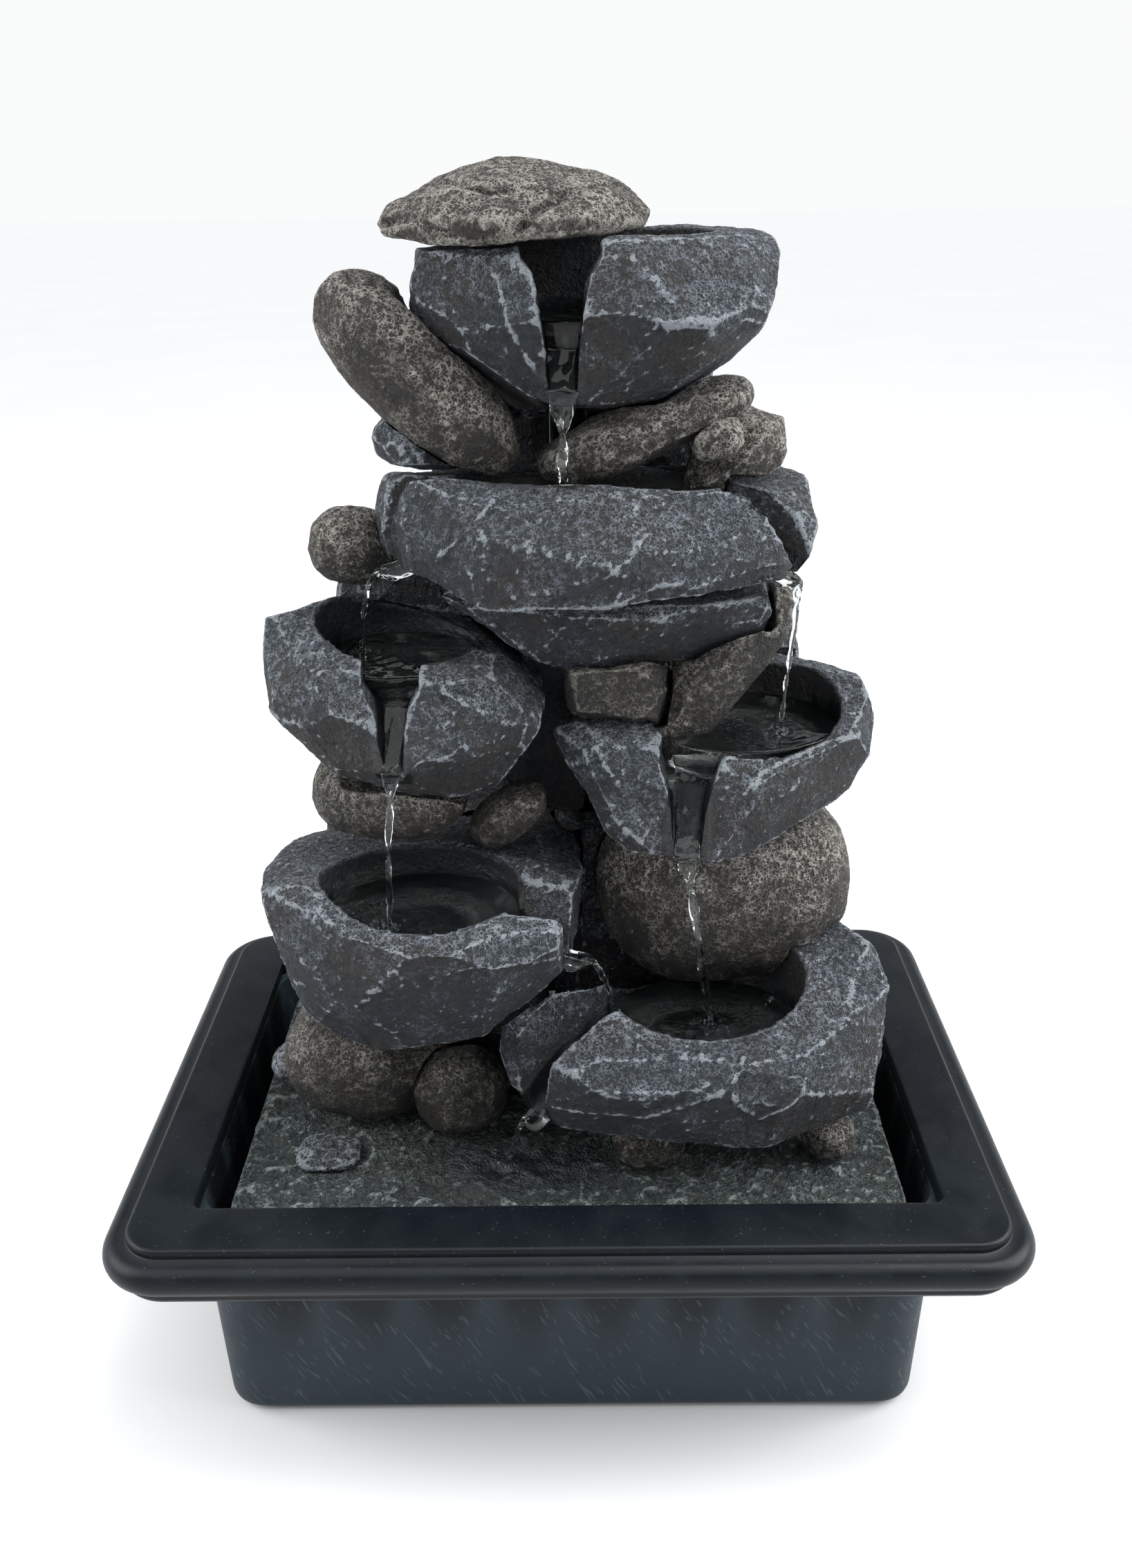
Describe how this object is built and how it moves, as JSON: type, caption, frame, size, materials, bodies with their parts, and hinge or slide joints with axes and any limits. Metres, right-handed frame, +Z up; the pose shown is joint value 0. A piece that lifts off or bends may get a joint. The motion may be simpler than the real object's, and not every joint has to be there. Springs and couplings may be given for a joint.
{
  "type": "tabletop water fountain",
  "caption": "Tabletop water fountain: tiered stone bowls and boulders on a rimmed rectangular tub, with a pump below that feeds the top bowl.",
  "frame": {"origin": "on the table, under the middle of the tub", "axes": "+X to the right seen from the front, +Y to the back, +Z up"},
  "size_m": [0.2098, 0.1422, 0.2832],
  "materials": {
    "tub_plastic": "moulded black ABS with a fine slate grain",
    "rim_plastic": "satin black ABS",
    "rubber": "moulded black rubber",
    "deck_stone": "cast resin painted as wet slate",
    "grey_stone": "cast resin painted as chiselled grey stone with dry-brushed edges",
    "brown_stone": "cast resin painted as water-worn brown stone",
    "clear_tube": "clear soft PVC hose",
    "pump_plastic": "moulded black ABS",
    "regulator_plastic": "moulded grey ABS",
    "rotor": "moulded ferrite magnet and blades",
    "ceramic": "polished white ceramic",
    "water": "clear moving water"
  },
  "bodies": {
    "base": {"basin_tub": "tub_plastic", "rim_frame": "rim_plastic", "foot_front_left": "rubber", "foot_front_right": "rubber", "foot_back_left": "rubber", "foot_back_right": "rubber", "cord_gland": "rubber", "pump_motor": "pump_plastic", "pump_chamber": "pump_plastic", "rotor_shaft": "ceramic", "suction_cup_front_left": "rubber", "suction_cup_front_right": "rubber", "suction_cup_back_left": "rubber", "suction_cup_back_right": "rubber"},
    "cascade": {"deck_plate": "deck_stone", "top_bowl": "grey_stone", "middle_bowl": "grey_stone", "middle_bowl_foot": "grey_stone", "left_upper_bowl": "grey_stone", "right_upper_bowl": "grey_stone", "lower_left_bowl": "grey_stone", "lower_right_bowl": "grey_stone", "cap_stone": "brown_stone", "long_boulder": "brown_stone", "slab_boulder": "brown_stone", "upper_right_pebble": "brown_stone", "round_stone_left": "brown_stone", "upper_left_rock": "grey_stone", "upper_right_rock": "brown_stone", "centre_block": "brown_stone", "diagonal_boulder": "brown_stone", "left_middle_boulder": "brown_stone", "small_diagonal_stone": "brown_stone", "big_right_boulder": "brown_stone", "lower_left_pebble": "brown_stone", "lower_left_boulder": "brown_stone", "front_pebble": "brown_stone", "right_pebble": "brown_stone", "flat_stone": "grey_stone", "edge_pebble": "grey_stone", "back_upper_stone": "grey_stone", "back_middle_left_stone": "grey_stone", "back_middle_right_stone": "grey_stone", "back_lower_left_stone": "grey_stone", "back_lower_right_stone": "grey_stone", "water_tube": "clear_tube"},
    "strainer": {"pump_cover": "pump_plastic"},
    "regulator": {"flow_regulator": "regulator_plastic"},
    "rotor": {"impeller": "rotor"}
  },
  "joints": [
    {"name": "cascade_lift", "type": "slide", "parent": "base", "child": "cascade", "axis": [0, 0, 1], "range_m": [0, 0.075]},
    {"name": "strainer_pull", "type": "slide", "parent": "base", "child": "strainer", "axis": [1, 0, 0], "range_m": [0, 0.02]},
    {"name": "regulator_slide", "type": "slide", "parent": "strainer", "child": "regulator", "axis": [0, 0, 1], "range_m": [0, 0.007]},
    {"name": "rotor_spin", "type": "hinge", "parent": "base", "child": "rotor", "pos_m": [0.002, 0.03, 0.0202], "axis": [1, 0, 0], "continuous": true}
  ]
}
